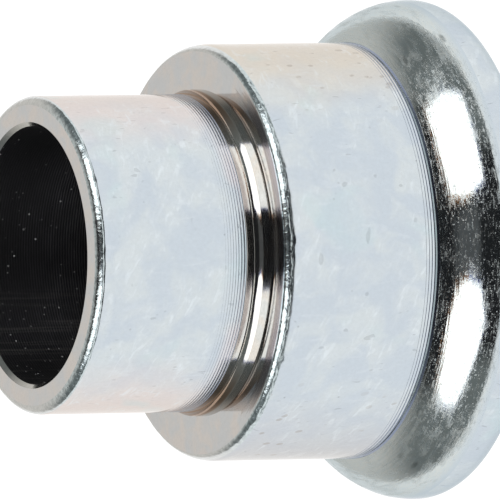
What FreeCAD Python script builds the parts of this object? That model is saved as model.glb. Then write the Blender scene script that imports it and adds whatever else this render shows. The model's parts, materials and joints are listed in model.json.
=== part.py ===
import FreeCAD, Part
import math
import os

# A turned and plated steel reducer spacer. It stands on its head, with its bore upright on +Z
# and the origin on that axis at the head's end face. From the bottom up it has a crowned head,
# a plain body that sets the spacing, and a slimmer nose that fills the larger hole it reduces.

# Driving sizes, in millimetres
bore_diameter = 12.85
nose_diameter = 15.85
nose_length = 9.14
spacer_length = 13.25
shoulder_width = 2.475
head_overhang = 2.1
crown_radius = 3.95
heel_radius = 1.35

# Edge chamfers, and the radius that the turning tool leaves in the two inner corners
bore_chamfer = 0.2
nose_chamfer = 0.36
shoulder_chamfer = 0.25
tool_radius = 0.4

# Sizes that follow from the driving sizes
bore_radius = bore_diameter / 2
nose_radius = nose_diameter / 2
body_radius = nose_radius + shoulder_width
head_radius = body_radius + head_overhang
total_length = spacer_length + nose_length
nose_wall = nose_radius - bore_radius
crown_centre_radius = head_radius - crown_radius
head_thickness = heel_radius + crown_radius

# No chamfer or rounding is larger than a share of the wall or step that it is cut in
WALL_SHARE = 1 / 3
mouth_edge = min(bore_chamfer, nose_wall * WALL_SHARE)
nose_edge = min(nose_chamfer, nose_wall * WALL_SHARE, nose_length * WALL_SHARE)
shoulder_edge = min(shoulder_chamfer, shoulder_width * WALL_SHARE)
nose_root = min(tool_radius, shoulder_width * WALL_SHARE, nose_length * WALL_SHARE)
head_root = min(tool_radius, head_overhang * WALL_SHARE)

UP = FreeCAD.Vector(0, 0, 1)
AXIS_POINT = FreeCAD.Vector(0, 0, 0)
SAME_PLACE = 1e-6


def on_profile(radius, height):
    """A point of the half section, which lies in the XZ plane."""
    return FreeCAD.Vector(radius, 0, height)


def profile_arc(centre_radius, centre_height, radius, start, end):
    """The arc of a half section between two directions, in degrees up from +X."""
    def at(direction):
        angle = math.radians(direction)
        return on_profile(centre_radius + radius * math.cos(angle),
                          centre_height + radius * math.sin(angle))
    return Part.Arc(at(start), at((start + end) / 2), at(end)).toShape()


def profile_line(start, end):
    return Part.makeLine(on_profile(*start), on_profile(*end))


def crowned_head():
    """The head blank: a rounded heel below, and one large convex crown above it."""
    heel_foot = (head_radius - heel_radius, 0)
    crown_top = (crown_centre_radius, head_thickness)
    outline = Part.Wire([
        profile_line((0, 0), heel_foot),
        profile_arc(heel_foot[0], heel_radius, heel_radius, -90, 0),
        profile_arc(crown_centre_radius, heel_radius, crown_radius, 0, 90),
        profile_line(crown_top, (0, head_thickness)),
        profile_line((0, head_thickness), (0, 0)),
    ])
    return Part.Face(outline).revolve(AXIS_POINT, UP, 360)


def turned_blank():
    """Head, body and nose in one piece of bar, before the bore and the edge breaks."""
    body = Part.makeCylinder(body_radius, spacer_length)
    nose = Part.makeCylinder(nose_radius, total_length)
    return crowned_head().fuse([body, nose]).removeSplitter()


def rings(shape, radius, low, high):
    """The circular edges of one radius that lie between two heights."""
    found = []
    for edge in shape.Edges:
        if not isinstance(edge.Curve, Part.Circle):
            continue
        height = edge.Curve.Center.z
        same_size = abs(edge.Curve.Radius - radius) < SAME_PLACE
        if same_size and low - SAME_PLACE < height < high + SAME_PLACE:
            found.append(edge)
    return found


def reducer_spacer():
    part = turned_blank()
    head_corner = rings(part, body_radius, heel_radius, head_thickness)
    part = part.makeFillet(head_root, head_corner)
    nose_corner = rings(part, nose_radius, spacer_length, spacer_length)
    part = part.makeFillet(nose_root, nose_corner)
    shoulder_rim = rings(part, body_radius, spacer_length, spacer_length)
    part = part.makeChamfer(shoulder_edge, shoulder_rim)
    nose_rim = rings(part, nose_radius, total_length, total_length)
    part = part.makeChamfer(nose_edge, nose_rim)
    part = part.cut(Part.makeCylinder(bore_radius, total_length))
    bore_mouths = rings(part, bore_radius, 0, total_length)
    return part.makeChamfer(mouth_edge, bore_mouths)


os.makedirs("parts", exist_ok=True)
spacer = reducer_spacer()
spacer.exportStep("parts/reducer_spacer.step")
print("solids", len(spacer.Solids), "valid", spacer.isValid(), "volume mm3", round(spacer.Volume, 2))
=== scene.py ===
import json
import math

import bpy
import numpy as np
from mathutils import Matrix, Vector, noise


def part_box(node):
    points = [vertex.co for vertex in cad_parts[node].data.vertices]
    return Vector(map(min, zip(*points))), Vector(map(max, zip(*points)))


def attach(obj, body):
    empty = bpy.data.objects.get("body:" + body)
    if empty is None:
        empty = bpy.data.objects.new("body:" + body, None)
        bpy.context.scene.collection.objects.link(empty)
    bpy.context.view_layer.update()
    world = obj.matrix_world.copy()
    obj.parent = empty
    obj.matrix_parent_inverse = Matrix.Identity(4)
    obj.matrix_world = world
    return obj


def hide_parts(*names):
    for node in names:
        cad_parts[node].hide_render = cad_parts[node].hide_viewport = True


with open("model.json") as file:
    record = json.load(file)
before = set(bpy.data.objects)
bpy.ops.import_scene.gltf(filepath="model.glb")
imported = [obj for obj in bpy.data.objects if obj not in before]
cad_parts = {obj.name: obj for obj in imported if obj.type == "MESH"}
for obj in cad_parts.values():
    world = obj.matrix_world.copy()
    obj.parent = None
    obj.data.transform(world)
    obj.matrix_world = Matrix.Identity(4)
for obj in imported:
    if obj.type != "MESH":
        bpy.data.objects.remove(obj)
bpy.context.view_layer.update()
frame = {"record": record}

# The spacer stands on its head, with its bore upright. Its shape is worked out in metres, and the
# patterns of its finishes in millimetres.
MM = 0.001
MICROMETRE = 0.001 * MM
mounts = {mount["name"]: mount for mount in frame["record"]["mounts"]}
head_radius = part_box("reducer_spacer")[1].x
total_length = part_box("reducer_spacer")[1].z
bore_radius = mounts["bore"]["dims"]["r_mm"] * MM
nose_radius = mounts["nose"]["dims"]["r_mm"] * MM
shoulder_height = mounts["shoulder"]["pos_m"][2]
shoulder_width = 2.475 * MM
body_radius = nose_radius + shoulder_width
crown_radius = 3.95 * MM
heel_radius = 1.35 * MM
bore_chamfer = 0.2 * MM

# Each feed of the tool leaves a ring: a short steep side, then a long shallow one.
# The steep sides are widest beside the two inner corners, and the rings fade away from them.
# SHALLOW_END is near the end of the shallow side, as shares of the ring's depth and of that side.
STEEP = 0.33
STEEP_SHARES = (0, 1 / 3, 2 / 3)
SHALLOW_END = (0.1, 0.9)
NOSE_FEED = 0.147 * MM
NOSE_MARKS = 9
NOSE_MARK = 0.034 * MM
BODY_FEED = 0.166 * MM
BODY_MARKS = 5
BODY_MARK = 0.065 * MM

# The foot of the nose, from the shoulder up: a short upright cut, the curve of the tool's radius,
# which starts ROOT_TILT degrees below level, a fine ridge between two directions in degrees up from
# +X, and a plain stretch. The feed marks begin above it.
ROOT_RADIUS = 0.75 * MM
ROOT_TILT = 46
RIDGE_HEIGHT = 0.61 * MM
RIDGE_OUT = 0.03 * MM
RIDGE_RADIUS = 0.025 * MM
RIDGE_TURN = (-70, 50)
PLAIN_FOOT = 1.0 * MM

# Beside the crown the tool ran out on a slight cone
RUN_OUT = 0.06 * MM
RUN_OUT_SLOPE = 0.31

# The outer edges are knocked round, as (across the part, along the part). The first degrees of each
# are finished like the wall.
SHOULDER_ROUND = (0.35 * MM, 0.85 * MM)
SHOULDER_WALL_TURN = 30
NOSE_ROUND = (0.45 * MM, 0.48 * MM)
NOSE_WALL_TURN = 13

# Small dents in those edges, with finer and shallower ones among them
DENT_DEPTH = 0.012 * MM
DENT_SIZE = 0.5 * MM
FINE_DENTS = 2.3
FINE_DENT_SHARE = 0.5

# A knock pushes the edge this share of its depth inwards and the same share down
KNOCK_SHARE = 0.7

# Nicks in the shoulder's edge: bearing from the camera's side in degrees, width and depth
NICKS = ((24, 0.13 * MM, 0.03 * MM), (-31, 0.13 * MM, 0.05 * MM), (3, 0.3 * MM, 0.02 * MM))

# The heel is finished like the walls, up to this many degrees into the crown
HEEL_TURN = 9

# Steps along each curve of the half section
HEEL_STEPS = 14
HEEL_TURN_STEPS = 6
CROWN_STEPS = 44
SHOULDER_STEPS = 14
ROOT_STEPS = 11
RIDGE_STEPS = 5
NOSE_STEPS = 16
WALL_TURN_STEPS = 4

# Steps round the bore's axis, the distance from a corner of the points that keep the shading flat,
# the distance under which two points are one, and the sharpest turn that is shaded smooth
SEGMENTS = 448
SUPPORT = 0.02 * MM
SAME_POINT = SUPPORT / 100
SHARP_TURN = math.radians(30)

# In millimetres: the boring bar's feed, the heights between which the crown's scratches fade in,
# the height where its turned lines start, and the top of the pale zinc beside the nose's feed marks
BORING_FEED = 0.144
CROWN_SMOOTH = 1.95
CROWN_TURNED = 2.6
CROWN_LINES = 3.9
MARKS_TOP = 15.2

# The radii, in millimetres, between which a finish fades in and out again: the coarse rings of the
# faces, and the brown sides of the nose's foot
COARSE_RINGS = (9.3, 9.45, 9.95, 10.0)
BROWN_FOOT = (7.2, 7.3, 8.08, 8.2)

# The Mix node's inputs and output for colours
COLOUR_A = 6
COLOUR_B = 7
COLOUR_OUT = 2


def on_arc(centre, radii, degrees):
    """The point of a round or oval arc in one direction, in degrees up from +X."""
    angle = math.radians(degrees)
    return (centre[0] + radii[0] * math.cos(angle), centre[1] + radii[1] * math.sin(angle))


class Profile:
    """The half section of the spacer, walked from the head's end over the outside to the bore."""

    def __init__(self):
        self.points = []
        self.zones = []

    def add(self, radius, height, zone):
        if self.points and math.dist(self.points[-1], (radius, height)) < SAME_POINT:
            self.zones[-1] = zone
            return
        self.points.append((radius, height))
        self.zones.append(zone)

    def line(self, start, end, zone):
        """A straight run, with a point close to each end that keeps the shading flat."""
        length = math.dist(start, end)
        for along in (0, SUPPORT, length - SUPPORT, length):
            share = along / length
            radius = start[0] + (end[0] - start[0]) * share
            height = start[1] + (end[1] - start[1]) * share
            self.add(radius, height, zone)

    def arc(self, centre, radii, start, end, steps, zone):
        """An arc about centre, round or oval, between two directions in degrees up from +X."""
        for step in range(1, steps):
            self.add(*on_arc(centre, radii, start + (end - start) * step / steps), zone)

    def feed_marks(self, radius, start, feed, count, widest, zone):
        """Rings along a cylinder from the height start upwards, each narrower than the last."""
        for step in range(count):
            foot = start + step * feed
            width = widest * (1 - step / count)
            drop = width * STEEP
            for share in STEEP_SHARES:
                self.add(radius - drop * share, foot + width * share, "groove")
            self.add(radius - drop, foot + width, zone)
            shallow_depth = drop * SHALLOW_END[0]
            self.add(radius - shallow_depth, foot + width + (feed - width) * SHALLOW_END[1], zone)

    def round_edge(self, centre, radii, wall_turn, steps):
        """A knocked edge from the wall round to the face. Its first degrees still count as wall."""
        self.arc(centre, radii, 0, wall_turn, WALL_TURN_STEPS, "cylinder")
        self.arc(centre, radii, wall_turn - 1, 90, steps, "edge")


def spacer_profile():
    """Every corner is worked out from the sizes above."""
    profile = Profile()
    mouth_radius = bore_radius + bore_chamfer

    # The head: its end face, the rounded heel, and the crown up to the run-out cone
    heel_round = (heel_radius, heel_radius)
    heel_centre = (head_radius - heel_radius, heel_radius)
    crown_round = (crown_radius, crown_radius)
    crown_centre = (head_radius - crown_radius, heel_radius)
    corner_radius = body_radius + RUN_OUT * RUN_OUT_SLOPE
    crown_turn = math.acos((corner_radius - crown_centre[0]) / crown_radius)
    corner_height = heel_radius + crown_radius * math.sin(crown_turn)
    crown_end = math.degrees(crown_turn)
    profile.line((mouth_radius, 0), (heel_centre[0], 0), "face")
    profile.arc(heel_centre, heel_round, -90, 0, HEEL_STEPS, "heel")
    profile.arc(crown_centre, crown_round, 0, HEEL_TURN, HEEL_TURN_STEPS, "heel")
    profile.arc(crown_centre, crown_round, HEEL_TURN - 1, crown_end, CROWN_STEPS, "crown")

    # The body, from the cone and the feed marks up to the shoulder's knocked edge
    body_foot = corner_height + RUN_OUT
    body_plain = body_foot + BODY_MARKS * BODY_FEED
    body_top = shoulder_height - SHOULDER_ROUND[1]
    shoulder_rim = body_radius - SHOULDER_ROUND[0]
    profile.line((corner_radius, corner_height), (body_radius, body_foot), "groove")
    profile.feed_marks(body_radius, body_foot, BODY_FEED, BODY_MARKS, BODY_MARK, "cylinder")
    profile.line((body_radius, body_plain), (body_radius, body_top), "cylinder")
    profile.round_edge((shoulder_rim, body_top), SHOULDER_ROUND, SHOULDER_WALL_TURN, SHOULDER_STEPS)

    # The shoulder's face, and the foot of the nose
    root_round = (ROOT_RADIUS, ROOT_RADIUS)
    root_centre = (nose_radius + ROOT_RADIUS, shoulder_height + ROOT_RADIUS)
    root_start = 180 + ROOT_TILT
    ridge_foot = (ROOT_RADIUS - RIDGE_HEIGHT + RIDGE_RADIUS) / ROOT_RADIUS
    root_end = 180 + math.degrees(math.asin(ridge_foot))
    cut_top = on_arc(root_centre, root_round, root_start)
    cut_foot = (cut_top[0], shoulder_height)
    ridge_round = (RIDGE_RADIUS, RIDGE_RADIUS)
    ridge_centre = (nose_radius + RIDGE_OUT, shoulder_height + RIDGE_HEIGHT)
    ridge_top = (nose_radius, ridge_centre[1] + RIDGE_RADIUS * 2)
    nose_foot = shoulder_height + PLAIN_FOOT
    profile.line((shoulder_rim, shoulder_height), cut_foot, "face")
    profile.line(cut_foot, cut_top, "tip_cut")
    profile.arc(root_centre, root_round, root_start, root_end, ROOT_STEPS, "tip_cut")
    profile.arc(ridge_centre, ridge_round, *RIDGE_TURN, RIDGE_STEPS, "tip_cut")
    profile.line(ridge_top, (nose_radius, nose_foot), "tip_cut")

    # The nose, up to its own knocked edge
    nose_plain = nose_foot + NOSE_MARKS * NOSE_FEED
    nose_top = total_length - NOSE_ROUND[1]
    nose_rim = nose_radius - NOSE_ROUND[0]
    profile.feed_marks(nose_radius, nose_foot, NOSE_FEED, NOSE_MARKS, NOSE_MARK, "cylinder")
    profile.line((nose_radius, nose_plain), (nose_radius, nose_top), "cylinder")
    profile.round_edge((nose_rim, nose_top), NOSE_ROUND, NOSE_WALL_TURN, NOSE_STEPS)

    # The nose's end face, and the bore with a chamfer at each mouth. The walk ends where it began.
    bore_top = (bore_radius, total_length - bore_chamfer)
    bore_foot = (bore_radius, bore_chamfer)
    profile.line((nose_rim, total_length), (mouth_radius, total_length), "face")
    profile.line((mouth_radius, total_length), bore_top, "tip_cut")
    profile.line(bore_top, bore_foot, "bore")
    profile.line(bore_foot, (mouth_radius, 0), "tip_cut")
    profile.points.pop()
    profile.zones.pop()
    return profile


def dent(vertices, zones):
    """Knocks small dents and a few nicks into the outer edges, always inwards."""
    for row, zone in enumerate(zones):
        if zone != "edge":
            continue
        for point in vertices[row]:
            place = Vector(point) / DENT_SIZE
            knock = max(0.0, noise.noise(place)) * DENT_DEPTH
            knock += max(0.0, noise.noise(place * FINE_DENTS)) * DENT_DEPTH * FINE_DENT_SHARE
            if point[2] < shoulder_height + SUPPORT:
                for bearing, width, depth in NICKS:
                    centre = direction(bearing, 0) * body_radius
                    off = math.dist(point[:2], centre[:2]) / width
                    knock += depth * max(0.0, 1 - off * off)
            out = math.hypot(point[0], point[1])
            point[:2] *= 1 - KNOCK_SHARE * knock / out
            point[2] -= KNOCK_SHARE * knock


def turned_mesh(profile, zones):
    """Turns the half section about the bore's axis. Each band of faces gets its zone's material."""
    points = np.array(profile.points)
    rows = len(points)
    turn = np.linspace(0, 2 * math.pi, SEGMENTS, endpoint=False)
    vertices = np.empty((rows, SEGMENTS, 3))
    vertices[:, :, 0] = points[:, 0, None] * np.cos(turn)
    vertices[:, :, 1] = points[:, 0, None] * np.sin(turn)
    vertices[:, :, 2] = points[:, 1, None]
    dent(vertices, profile.zones)
    row = np.repeat(np.arange(rows), SEGMENTS)
    column = np.tile(np.arange(SEGMENTS), rows)
    next_row = (row + 1) % rows
    next_column = (column + 1) % SEGMENTS
    faces = np.stack([row * SEGMENTS + column, row * SEGMENTS + next_column,
                      next_row * SEGMENTS + next_column, next_row * SEGMENTS + column], axis=1)
    mesh = bpy.data.meshes.new("turned_spacer")
    mesh.from_pydata(vertices.reshape(-1, 3).tolist(), [], faces.tolist())
    band = [zones.index(zone) for zone in profile.zones]
    mesh.polygons.foreach_set("material_index", np.repeat(band, SEGMENTS))
    mesh.polygons.foreach_set("use_smooth", np.ones(len(faces), bool))
    mesh.update()
    mesh.set_sharp_from_angle(angle=SHARP_TURN)
    return mesh


def direction(azimuth, elevation):
    """The unit vector towards a bearing, where azimuth 0 is the camera's side, -Y."""
    a = math.radians(azimuth)
    e = math.radians(elevation)
    return Vector((math.cos(e) * math.sin(a), -math.cos(e) * math.cos(a), math.sin(e)))


class Socket:
    """One output of a shader node. Sums on it add Math nodes to the same tree."""

    def __init__(self, paint, output):
        self.paint = paint
        self.output = output

    def __add__(self, other):
        return self.paint.math("ADD", self, other)

    __radd__ = __add__

    def __sub__(self, other):
        return self.paint.math("SUBTRACT", self, other)

    def __rsub__(self, other):
        return self.paint.math("SUBTRACT", other, self)

    def __mul__(self, other):
        return self.paint.math("MULTIPLY", self, other)

    __rmul__ = __mul__

    def __truediv__(self, other):
        return self.paint.math("DIVIDE", self, other)

    def __rtruediv__(self, other):
        return self.paint.math("DIVIDE", other, self)

    def sibling(self, index):
        """Another output of the same node."""
        return Socket(self.paint, self.output.node.outputs[index])


class Paint:
    """The node tree of one material, or of the world."""

    def __init__(self, tree):
        self.tree = tree
        tree.nodes.clear()

    def node(self, kind, settings=None, inputs=None, output=0):
        """Adds one node: its settings first, then the values or links of its sockets."""
        made = self.tree.nodes.new(kind)
        for name, value in (settings or {}).items():
            setattr(made, name, value)
        for name, value in (inputs or {}).items():
            if isinstance(value, Socket):
                self.tree.links.new(value.output, made.inputs[name])
            else:
                made.inputs[name].default_value = value
        return Socket(self, made.outputs[output]) if made.outputs else made

    def math(self, operation, *values):
        return self.node("ShaderNodeMath", {"operation": operation}, dict(enumerate(values)))

    def step(self, value, low, high):
        """0 where value is under low, 1 where it is over high, and smooth between them."""
        settings = {"interpolation_type": "SMOOTHSTEP"}
        inputs = {"Value": value, "From Min": low, "From Max": high}
        return self.node("ShaderNodeMapRange", settings, inputs)

    def band(self, value, rise, full, fall, gone):
        """1 where value is between full and fall, and 0 where it is under rise or over gone."""
        return self.step(value, rise, full) * (1 - self.step(value, fall, gone))

    def mix(self, share, first, second):
        """Two colours mixed by share."""
        inputs = {"Factor": share, COLOUR_A: first, COLOUR_B: second}
        return self.node("ShaderNodeMix", {"data_type": "RGBA"}, inputs, COLOUR_OUT)

    def tint(self, base, factor):
        """A colour times a plain value."""
        inputs = {0: base if isinstance(base, Socket) else base[:3], "Scale": factor}
        return self.node("ShaderNodeVectorMath", {"operation": "SCALE"}, inputs)

    def split(self, vector):
        parts = self.node("ShaderNodeSeparateXYZ", {}, {0: vector})
        return parts, parts.sibling(1), parts.sibling(2)

    def join(self, x, y, z):
        return self.node("ShaderNodeCombineXYZ", {}, {0: x, 1: y, 2: z})

    def noise(self, place, scale, detail=2.0, distortion=0.0):
        """A cloudy value from 0 to 1, mostly near a half, with scale waves to a millimetre."""
        inputs = {"Vector": place, "Scale": scale, "Detail": detail, "Distortion": distortion}
        return self.node("ShaderNodeTexNoise", {}, inputs)

    def specks(self, place, spacing, size, share):
        """Small round specks of every strength up to 1, in a share of the cells spacing apart."""
        near = self.node("ShaderNodeTexVoronoi", {}, {"Vector": place, "Scale": 1 / spacing})
        pick = self.split(near.sibling(1))[0]
        strength = self.math("MAXIMUM", (pick + (share - 1)) / share, 0.0)
        return (1 - self.step(near, 0.3 * size / spacing, size / spacing)) * strength


def colour(red, green, blue):
    """A colour as it shows on a screen, from 0 to 255, turned into the linear one of a shader."""
    def linear(level):
        level = level / 255
        return level / 12.92 if level <= 0.04045 else ((level + 0.055) / 1.055) ** 2.4
    return (linear(red), linear(green), linear(blue), 1.0)


class Surface:
    """A metal finish: its paint, and the places on the part that its patterns are drawn from."""

    def __init__(self, name):
        self.material = bpy.data.materials.new(name)
        self.material.use_nodes = True
        self.paint = Paint(self.material.node_tree)
        paint = self.paint
        self.place = paint.tint(paint.node("ShaderNodeTexCoord", {}, {}, "Object"), 1 / MM)
        self.x, self.y, self.height = paint.split(self.place)
        self.radius = paint.math("SQRT", self.x * self.x + self.y * self.y)

    def ringed(self, along, round_scale, along_scale):
        """Places for a pattern drawn out round the part. along is millimetres across the rings."""
        turn = round_scale * body_radius / MM
        round_x = self.x / self.radius * turn
        round_y = self.y / self.radius * turn
        return self.paint.join(round_x, round_y, along * along_scale)

    def aside(self):
        """0 at the part's front and back, and 1 at both its sides."""
        return self.paint.math("ABSOLUTE", self.x) / self.radius

    def front(self, low, high):
        """A mask of the part's front, -Y. low and high count from 0 at the sides to 1 in front."""
        return self.paint.step(-1 * self.y / self.radius, low, high)

    def finish(self, base, roughness, heights, tint=(1.0, 1.0, 1.0, 1.0), bare=1.0):
        """Joins the colour, the roughness and the heights in micrometres into one metal shader.

        tint colours the metal where it is seen edge on. bare is how much of the metal is bare: dust
        and dried oil hide the rest.
        """
        paint = self.paint
        bump = paint.node("ShaderNodeBump", {}, {
            "Height": heights, "Distance": MICROMETRE, "Strength": 1.0})
        shader = paint.node("ShaderNodeBsdfPrincipled", {}, {
            "Base Color": base, "Metallic": bare, "Roughness": roughness,
            "Specular Tint": tint, "Normal": bump})
        paint.node("ShaderNodeOutputMaterial", {}, {"Surface": shader})
        return self.material


def plated_wall(name, side_sheen_and_stains, tint):
    """Clear zinc on the turned walls: pale blue grey and cloudy, with small marks.

    The second argument sets the strength of the sides' painted sheen of warm tints, and of their
    stains.
    """
    surface = Surface(name)
    paint, place = surface.paint, surface.place
    clouds = paint.noise(place, 0.55, 3.0, 0.6)
    drift = paint.noise(place, 0.3, 2.0, 0.4)
    grain = paint.noise(place, 5.5, 2.0)
    base = paint.mix(paint.step(clouds, 0.35, 0.68), colour(192, 201, 209), colour(202, 209, 212))

    # Both sides of the nose are pinkish. The body is yellowish on one side and greyer on the other.
    # These side tints are painted sheen: the zinc's glancing colour where the wall is seen edge on
    side = surface.aside() + (drift - 0.5) * 0.35
    on_nose = paint.step(surface.height, shoulder_height / MM, shoulder_height / MM + 0.1)
    upper = paint.step(surface.x, -1.0, 1.0)
    shade = paint.mix(upper, colour(192, 196, 202), colour(213, 203, 188))
    shade = paint.mix(on_nose, shade, colour(219, 207, 202))
    base = paint.mix(paint.step(side, 0.62, 0.98) * side_sheen_and_stains, base, shade)
    base = paint.mix(paint.step(drift, 0.56, 0.72) * 0.4, base, colour(188, 209, 212))

    # Beside the nose's feed marks the zinc is paler and pinkish
    turned_aside = paint.band(side, 0.38, 0.5, 0.66, 0.8)
    by_marks = on_nose * (1 - paint.step(surface.height, MARKS_TOP - 0.5, MARKS_TOP))
    base = paint.mix(turned_aside * by_marks * 0.7, base, colour(214, 210, 212))

    # Pale wisps drift slantwise round the wall, and smudges lie along it
    wisp_place = surface.ringed(surface.height + surface.x * 0.35, 0.8, 2.4)
    wisps = paint.step(paint.noise(wisp_place, 1.0, 3.0, 1.0), 0.5, 0.78)
    wisps = wisps * paint.step(clouds, 0.4, 0.6)
    base = paint.mix(wisps * 0.5, base, colour(222, 230, 235))
    smudge = paint.noise(surface.ringed(surface.height, 1.6, 0.5), 1.0, 3.0, 0.8)
    smudge = paint.step(smudge, 0.58, 0.75)
    base = paint.mix(smudge * 0.3, base, colour(212, 219, 224))

    # Pits and scratches lie everywhere, and dark stains at the sides of the body
    pits = paint.specks(place, 0.9, 0.085, 0.35)
    stain_place = surface.ringed(surface.height + surface.x * 0.6, 1.7, 1.3)
    stains = paint.step(paint.specks(stain_place, 1.0, 0.38, 0.45) * grain, 0.08, 0.26)
    stains = stains * paint.step(side, 0.5, 0.9) * (1 - on_nose) * side_sheen_and_stains
    scratch_place = paint.node("ShaderNodeMapping", {}, {
        "Vector": place, "Rotation": (0.3, 0.9, 0.5), "Scale": (0.5, 7.0, 1.6)})
    scratches = paint.step(paint.noise(scratch_place, 1.0, 1.0), 0.71, 0.76)
    base = paint.mix(stains * 0.55, base, colour(150, 140, 130))
    base = paint.tint(base, 0.945 + grain * 0.11 - pits * 0.3 - scratches * 0.16)
    fine_rings = paint.noise(surface.ringed(surface.height, 0.25, 9.0), 1.0, 2.0)
    roughness = 0.09 + clouds * 0.05 + pits * 0.2 + smudge * 0.06
    heights = fine_rings * 0.9 + grain * 0.5 - scratches * 1.5 - pits * 2.0
    return surface.finish(base, roughness, heights, tint)


def turned_face():
    """The faces cut square across: clear zinc over fine rings, coarser near the shoulder's rim."""
    surface = Surface("turned_face")
    paint, place = surface.paint, surface.place
    clouds = paint.noise(place, 0.8, 3.0, 0.5)
    grain = paint.noise(place, 6.0, 2.0)
    base = paint.mix(paint.step(clouds, 0.35, 0.65), colour(202, 204, 206), colour(211, 206, 202))
    specks = paint.specks(place, 0.4, 0.05, 0.4)
    base = paint.tint(base, 0.95 + grain * 0.1 - specks * 0.2)
    rings = paint.noise(surface.ringed(surface.radius, 0.3, 8.0), 1.0, 2.0)
    coarse = paint.band(surface.radius, *COARSE_RINGS)
    grooves = paint.noise(surface.ringed(surface.radius, 0.9, 14.0), 1.0, 1.0)
    front = surface.front(0.55, 0.8)

    # At the front the coarse rings are painted grey: painted shade that dims their reflection there
    front_ring_shade = paint.tint(colour(156, 148, 147), 0.85 + grooves * 0.3)
    base = paint.mix(coarse * front, base, front_ring_shade)
    heights = rings * 0.5 + grain * 0.3 + specks * 1.5 + grooves * coarse * 6.0
    roughness = 0.05 + clouds * 0.03 + coarse * 0.06 + specks * 0.3
    return surface.finish(base, roughness, heights)


def dark_groove():
    """The steep sides of the feed marks, painted dark: painted shade for the dim room they reflect.
    """
    surface = Surface("dark_groove")
    grain = surface.paint.noise(surface.place, 7.0, 2.0)
    base = surface.paint.tint(colour(128, 137, 156), 0.8 + grain * 0.4)
    return surface.finish(base, 0.16, grain)


def tip_cut():
    """The tool's tip cuts: the foot of the nose, brown at its sides, and the bore's chamfers."""
    surface = Surface("tip_cut")
    paint = surface.paint
    grain = paint.noise(surface.ringed(surface.height, 3.0, 9.0), 1.0, 2.0)
    base = paint.mix(grain, colour(178, 177, 172), colour(204, 203, 198))
    side = surface.aside()
    foot = paint.band(surface.radius, *BROWN_FOOT)
    brown_sides = paint.step(side, 0.66, 0.9) * foot
    base = paint.mix(brown_sides * 0.9, base, colour(144, 114, 90))
    return surface.finish(base, 0.06 + grain * 0.07, grain)


def bright_crown():
    """The polished crown: a dark and bright mirror, full of specks and fine hair scratches."""
    surface = Surface("bright_crown")
    paint, place = surface.paint, surface.place
    clouds = paint.noise(place, 0.7, 3.0, 0.7)
    grain = paint.noise(place, 7.0, 3.0)

    # Hairs and scuffs run round the crown, with other hairs across them
    along = (surface.height - surface.radius) * 0.77
    hairs = paint.noise(surface.ringed(along, 2.2, 10.0), 1.0, 4.0, 0.4)
    scuffs = paint.step(paint.noise(surface.ringed(along, 2.6, 13.0), 1.0, 3.0, 0.3), 0.5, 0.66)
    cross_hairs = paint.noise(surface.ringed(along, 8.0, 1.2), 1.0, 2.0)

    # Specks and dashes cover it all over, and are strongest at the front
    front = surface.front(0.35, 0.75)
    fine = paint.specks(place, 0.11, 0.042, 0.55)
    large = paint.specks(place, 0.26, 0.05, 0.5)
    dashes = paint.specks(surface.ringed(along, 3.0, 9.0), 1.0, 0.36, 0.4)
    haze = paint.step(paint.noise(place, 9.0, 3.0), 0.5, 0.8)
    specks = paint.math("MAXIMUM", paint.math("MAXIMUM", fine, large), dashes * 0.6)
    specks = (specks + haze * 0.5) * (0.3 + front * 0.7)

    # The colour is streaked above the smooth foot of the crown
    turned = paint.step(surface.height, CROWN_SMOOTH, CROWN_TURNED)
    streaks = paint.step(hairs, 0.3, 0.7) * turned
    base = paint.mix(turned, colour(193, 203, 210), colour(197, 205, 206))
    base = paint.mix(streaks * 0.6, base, colour(206, 208, 203))
    base = paint.tint(base, 0.93 + grain * 0.08 * turned + clouds * 0.08)

    # Smears and dark stains keep to the sides, and dull patches to the rest
    side = paint.step(surface.aside(), 0.5, 0.85)
    patches = paint.step(paint.noise(place, 1.2, 3.0, 0.6), 0.46, 0.68) * turned
    smears = paint.noise(surface.ringed(along, 0.8, 2.2), 1.0, 4.0, 0.6)
    smears = paint.step(smears, 0.3, 0.75) * side * turned
    stains = paint.specks(surface.ringed(along, 0.55, 1.5), 1.0, 0.26, 0.5) * side * grain
    base = paint.mix(stains * 1.4, base, colour(58, 66, 64))

    # Near the body the tool left turned lines
    lines = paint.noise(surface.ringed(along, 0.35, 6.5), 1.0, 1.0)
    lines = lines * paint.step(surface.height, CROWN_LINES, CROWN_LINES + 0.5)
    roughness = 0.06 + patches * (1 - side) * 0.1 + smears * 0.3
    roughness = roughness + scuffs * front * 0.16 + specks * 0.4
    heights = (hairs * (2.4 + side * 2.6) + cross_hairs * 0.9 + specks * 1.6) * turned
    heights = heights + lines * 9.0 + grain * 0.7
    return surface.finish(base, roughness, heights, (0.7, 0.74, 0.76, 1.0))


def knocked_edge():
    """The outer edges, knocked round: crumpled and glinting, with mottled painted shade and a
    smoother lip by the wall.
    """
    surface = Surface("knocked_edge")
    paint, place = surface.paint, surface.place

    # The lip is the part of the edge that still faces outwards
    normal = paint.node("ShaderNodeTexCoord", {}, {}, "Normal")
    wander = paint.noise(place, 1.6, 2.0)
    facing = paint.split(normal)[2] + (wander - 0.5) * 0.25
    lip = 1 - paint.step(facing, 0.3, 0.45)

    # Dents, glints and dark spots are all strongest at the front. The dark spots are painted shade.
    crumple = paint.noise(place, 2.4, 3.0, 0.8)
    grain = paint.noise(place, 12.0, 2.0)
    front = surface.front(0.1, 0.6)
    mottle = paint.step(paint.noise(place, 4.6, 2.0), 0.36, 0.62)
    glints = paint.specks(place, 0.16, 0.06, 0.5)
    base = paint.mix(front, colour(203, 204, 202), colour(200, 211, 213))
    mottled_shade = 0.32 * (0.35 + front * 0.65) * (1 - lip * 0.5)
    base = paint.tint(base, 1 - mottled_shade * (1 - mottle))
    heights = (crumple * 30.0 * (1.1 - lip) + glints * 6.0) * (0.35 + front * 0.65) + grain * 3.0
    return surface.finish(base, 0.14 + grain * 0.12, heights)


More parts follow.
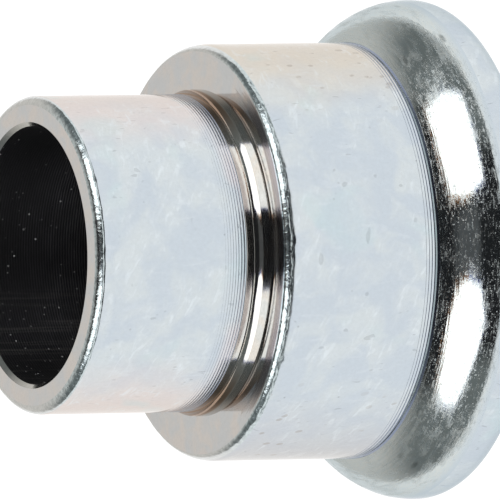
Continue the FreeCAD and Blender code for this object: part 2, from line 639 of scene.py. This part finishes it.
def bored_wall():
    """The bore's wall: thin dull plating over boring rings with painted highlights, and specks of
    dust.
    """
    surface = Surface("bored_wall")
    paint, place = surface.paint, surface.place
    scallop = paint.math("PINGPONG", surface.height / BORING_FEED, 0.5)
    fine_dust = paint.specks(place, 0.42, 0.07, 1.0)
    dust = paint.math("MAXIMUM", fine_dust * 0.7, paint.specks(place, 0.9, 0.085, 0.9))

    # The rings' painted highlight fades near the nose's mouth, and oil has dried in long smears on
    # one side
    ring_highlight = paint.noise(surface.ringed(surface.height, 0.5, 1.2), 1.0, 2.0)
    depth = total_length / MM - surface.height
    ring_highlight = ring_highlight * (0.2 + paint.step(depth, 1.5, 5.5))
    smears = paint.noise(surface.ringed(surface.height, 2.6, 0.16), 1.0, 3.0, 0.3)
    smears = paint.step(smears, 0.5, 0.75) * paint.step(-1 * surface.x, 1.0, 3.0)
    # The middle of each ring is painted lighter: painted highlight, over the rings' real bumps
    base = paint.tint((0.20, 0.20, 0.21), 0.55 + scallop * 2.2 * ring_highlight)
    base = paint.mix(smears * 0.22, base, (0.72, 0.68, 0.64, 1.0))
    base = paint.mix(dust, base, (0.95, 0.95, 0.95, 1.0))
    heights = scallop * scallop * 40.0 + dust * 4.0
    return surface.finish(base, 0.4 + dust * 0.4, heights, bare=1 - dust - smears * 0.06)


def studio_world():
    """A dark studio round the part, with a pale backdrop behind it. The camera sees plain white."""
    world = bpy.data.worlds.new("studio")
    world.use_nodes = True
    bpy.context.scene.world = world
    paint = Paint(world.node_tree)
    x, y, z = paint.split(paint.node("ShaderNodeTexCoord", {}, {}, "Generated"))
    level = paint.math("SQRT", x * x + y * y)
    behind = y / paint.math("MAXIMUM", level, 0.001)

    # High in front, between the softboxes, the room is a little lighter. It is lighter still at the
    # sides and behind. The backdrop dims as it rises, and ends under the dark roof.
    gap = paint.step(-1 * behind, 0.86, 0.95) * paint.step(z, 0.5, 0.62)
    gap = gap * (1 - paint.step(z, 0.9, 0.97))
    below_roof = 1 - paint.step(z, 0.955, 0.985)
    side = paint.step(behind, -0.78, -0.5) * (1 - paint.step(z, 0.7, 0.86))
    dimmed = 1 - paint.step(z, 0.3, 0.95) * 0.45
    backdrop = paint.step(behind, 0.5, 0.95) * dimmed * below_roof
    room = paint.mix(gap, (0.018, 0.019, 0.021, 1), (0.10, 0.105, 0.11, 1))
    room = paint.mix(side, room, (0.19, 0.208, 0.208, 1))
    room = paint.mix(backdrop, room, (0.84, 0.82, 0.79, 1))
    eye = paint.node("ShaderNodeLightPath", {}, {}, "Is Camera Ray")
    seen = paint.mix(eye, room, (1.0, 1.0, 1.0, 1))
    background = paint.node("ShaderNodeBackground", {}, {"Color": seen, "Strength": 1.0})
    paint.node("ShaderNodeOutputWorld", {}, {"Surface": background})


# The round floor glows, but for a disc under the part: the glow fades in between two shares of the
# head's radius
FLOOR_RADIUS = 3.0
FLOOR_SIDES = 96
FLOOR_GLOW = 0.98
GLOW_START = 0.6
GLOW_FULL = 0.85


def studio_floor():
    mesh = bpy.data.meshes.new("floor")
    turn = [2 * math.pi * step / FLOOR_SIDES for step in range(FLOOR_SIDES)]
    rim = [(FLOOR_RADIUS * math.cos(a), FLOOR_RADIUS * math.sin(a), 0) for a in turn]
    mesh.from_pydata(rim, [], [range(FLOOR_SIDES)])
    floor = bpy.data.objects.new("floor", mesh)
    bpy.context.scene.collection.objects.link(floor)
    material = bpy.data.materials.new("lit_floor")
    material.use_nodes = True
    paint = Paint(material.node_tree)
    place = paint.node("ShaderNodeTexCoord", {}, {}, "Object")
    reach = paint.node("ShaderNodeVectorMath", {"operation": "LENGTH"}, {0: place}, "Value")
    lit = paint.step(reach, GLOW_START * head_radius, GLOW_FULL * head_radius)
    glow = paint.mix(lit, (0.0, 0.0, 0.0, 1), (1.0, 1.0, 1.0, 1))
    shader = paint.node("ShaderNodeBsdfPrincipled", {}, {
        "Base Color": (0.2, 0.2, 0.2, 1), "Roughness": 0.9, "Specular IOR Level": 0.0,
        "Emission Color": glow, "Emission Strength": FLOOR_GLOW})
    paint.node("ShaderNodeOutputMaterial", {}, {"Surface": shader})
    mesh.materials.append(material)


# Softbox outlines as (azimuth, elevation) of their corners, seen from the part, in degrees. Each is
# named for the half of the picture that it lights.
SOFTBOX_DISTANCE = 0.9
LOWER_SOFTBOX = ((-70, 66), (-30, 62.5), (-18, 50), (-18, 32),
                 (-35, 20), (-82, 24), (-94, 42), (-92, 50))
UPPER_SOFTBOX = ((52, 69), (32, 52), (29, 37), (32, 20),
                 (75, 14), (85, 30), (92, 42), (107, 52), (85, 65))
SOFTBOX_GLOW = 2.4

# The rims' widths, as shares of the distance from the panel's middle, and their lights
SOFTBOX_TOP_RIM = 0.09
SOFTBOX_FOOT_RIM = 0.03
PANEL_LIGHT = (1, 1, 1, 1)
TOP_RIM_LIGHT = (0.45, 0.22, 0.1, 1)
FOOT_RIM_LIGHT = (0.2, 0.25, 0.62, 1)


def glowing(name, light, strength):
    material = bpy.data.materials.new(name)
    material.use_nodes = True
    paint = Paint(material.node_tree)
    glow = paint.node("ShaderNodeEmission", {}, {"Color": light, "Strength": strength})
    paint.node("ShaderNodeOutputMaterial", {}, {"Surface": glow})
    return material


def softbox(name, corners):
    """A white panel, with a thin rim that is warm along its top and blue along its foot."""
    count = len(corners)
    middle = [sum(corner[axis] for corner in corners) / count for axis in (0, 1)]
    outer = []
    for corner in corners:
        spread = 1 + (SOFTBOX_TOP_RIM if corner[1] > middle[1] else SOFTBOX_FOOT_RIM)
        outer.append([m + (c - m) * spread for c, m in zip(corner, middle)])
    points = [direction(*corner) * SOFTBOX_DISTANCE for corner in list(corners) + outer]
    faces = [list(range(count))]
    for side in range(count):
        following = (side + 1) % count
        faces.append([side, following, following + count, side + count])
    mesh = bpy.data.meshes.new(name)
    mesh.from_pydata([tuple(point) for point in points], [], faces)
    for material in (glowing(name, PANEL_LIGHT, SOFTBOX_GLOW),
                     glowing(name + "_top", TOP_RIM_LIGHT, 1.0),
                     glowing(name + "_foot", FOOT_RIM_LIGHT, 1.0)):
        mesh.materials.append(material)
    for side in range(count):
        height = (corners[side][1] + corners[(side + 1) % count][1]) / 2
        mesh.polygons[side + 1].material_index = 1 if height > middle[1] else 2
    panel = bpy.data.objects.new(name, mesh)
    bpy.context.scene.collection.objects.link(panel)
    panel.visible_camera = False


# The camera lies on its side, so that the bore runs across the picture with the nose at the left.
# The elevation is in degrees and the roll in radians. VIEW_WIDTH is the picture's width at AIM.
CAMERA_ELEVATION = 25.82
CAMERA_ROLL = 0.01537
LENS = 1700.0
SENSOR = 36.0
VIEW_WIDTH = 24.95 * MM
AIM = Vector((0.0995 * MM, 0, 10.258 * MM))


def studio_camera():
    back = direction(0, CAMERA_ELEVATION)
    down_axis = direction(0, CAMERA_ELEVATION - 90)
    right = down_axis * math.cos(CAMERA_ROLL) - Vector((1, 0, 0)) * math.sin(CAMERA_ROLL)
    up = back.cross(right)
    data = bpy.data.cameras.new("camera")
    data.lens = LENS
    data.sensor_width = SENSOR
    data.clip_start = 0.1
    data.clip_end = 10.0
    camera = bpy.data.objects.new("camera", data)
    bpy.context.scene.collection.objects.link(camera)
    camera.rotation_mode = "QUATERNION"
    camera.rotation_quaternion = Matrix((right, up, back)).transposed().to_quaternion()
    camera.location = AIM + back * (VIEW_WIDTH * LENS / SENSOR)
    bpy.context.scene.camera = camera


bpy.context.scene.view_settings.view_transform = "Standard"
studio_camera()
studio_world()
studio_floor()
softbox("softbox_lower", LOWER_SOFTBOX)
softbox("softbox_upper", UPPER_SOFTBOX)

finishes = {
    "cylinder": plated_wall("plated_cylinder", 0.8, (0.86, 0.83, 0.80, 1.0)),
    "heel": plated_wall("plated_heel", 0.0, (0.7, 0.74, 0.76, 1.0)),
    "face": turned_face(),
    "tip_cut": tip_cut(),
    "groove": dark_groove(),
    "crown": bright_crown(),
    "edge": knocked_edge(),
    "bore": bored_wall(),
}
spacer_mesh = turned_mesh(spacer_profile(), list(finishes))
for finish in finishes.values():
    spacer_mesh.materials.append(finish)
spacer = bpy.data.objects.new("turned_spacer", spacer_mesh)
bpy.context.scene.collection.objects.link(spacer)
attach(spacer, "root")
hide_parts("reducer_spacer")
